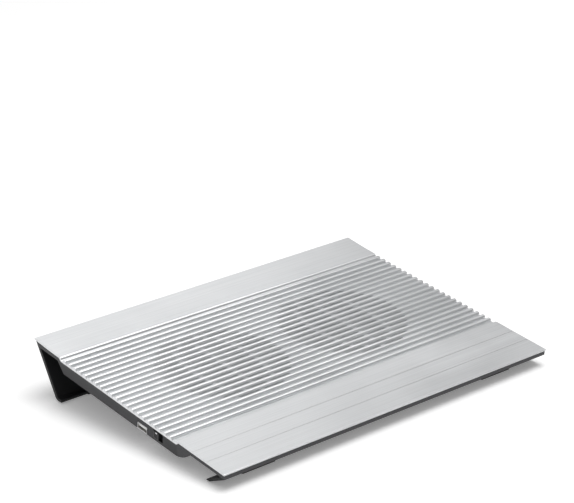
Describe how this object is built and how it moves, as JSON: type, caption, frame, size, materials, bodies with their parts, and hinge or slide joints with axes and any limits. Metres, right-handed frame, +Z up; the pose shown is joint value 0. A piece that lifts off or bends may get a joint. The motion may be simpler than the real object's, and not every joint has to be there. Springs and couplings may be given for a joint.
{
  "type": "laptop cooling pad",
  "caption": "Tilted laptop cooling pad: ribbed aluminium deck on a dark plastic tray with two fans, wedge stands, a flat USB socket and a slide switch.",
  "frame": {"origin": "on the table, below the middle of the deck in plan", "axes": "+Z up, +X to the user's right, +Y away from the user"},
  "size_m": [0.38, 0.2776, 0.0549],
  "materials": {
    "deck_aluminium": "brushed",
    "tray_plastic": "fine texture",
    "stand_plastic": "fine texture",
    "pad_rubber": "matte",
    "bright_steel": "satin",
    "fan_plastic": "satin",
    "bearing_brass": "sintered",
    "magnet": "matte",
    "winding": "enamelled",
    "circuit_board": "solder mask",
    "lead_sleeve": "satin",
    "socket_steel": "plated",
    "pale_insulator": "matte",
    "switch_plastic": "satin"
  },
  "bodies": {
    "pad": {"base_tray": "tray_plastic", "board_chips": "switch_plastic", "board_screws": "bright_steel", "fan_frame_left": "fan_plastic", "fan_frame_right": "fan_plastic", "fan_lead_left": "lead_sleeve", "fan_lead_right": "lead_sleeve", "fan_screws": "bright_steel", "front_pads": "pad_rubber", "front_stand": "stand_plastic", "front_stand_screws": "bright_steel", "hub_board": "circuit_board", "inlet_board": "circuit_board", "inlet_lead": "lead_sleeve", "inlet_socket": "socket_steel", "lead_headers": "pale_insulator", "motor_board_left": "circuit_board", "motor_board_right": "circuit_board", "rear_pads": "pad_rubber", "rear_stand": "stand_plastic", "rear_stand_screws": "bright_steel", "sleeve_bearing_left": "bearing_brass", "sleeve_bearing_right": "bearing_brass", "stator_coils_left": "winding", "stator_coils_right": "winding", "stator_core_left": "bright_steel", "stator_core_right": "bright_steel", "switch_body": "switch_plastic", "top_panel": "deck_aluminium", "usb_shell": "socket_steel", "usb_tongue": "pale_insulator"},
    "rotor_left": {"impeller_left": "fan_plastic", "rotor_yoke_left": "bright_steel", "rotor_magnet_left": "magnet", "rotor_shaft_left": "bright_steel", "shaft_clip_left": "fan_plastic"},
    "rotor_right": {"impeller_right": "fan_plastic", "rotor_yoke_right": "bright_steel", "rotor_magnet_right": "magnet", "rotor_shaft_right": "bright_steel", "shaft_clip_right": "fan_plastic"},
    "switch": {"switch_cap": "switch_plastic", "switch_lever": "switch_plastic"}
  },
  "joints": [
    {"name": "fan_left_spin", "type": "hinge", "parent": "pad", "child": "rotor_left", "pos_m": [-0.0718, 0.01239, 0.02534], "axis": [0, -0.1357, 0.9907], "continuous": true},
    {"name": "fan_right_spin", "type": "hinge", "parent": "pad", "child": "rotor_right", "pos_m": [0.0718, 0.01239, 0.02534], "axis": [0, -0.1357, 0.9907], "continuous": true},
    {"name": "switch_slide", "type": "slide", "parent": "pad", "child": "switch", "axis": [0, -0.9907, -0.1357], "range_m": [0, 0.0046]}
  ]
}
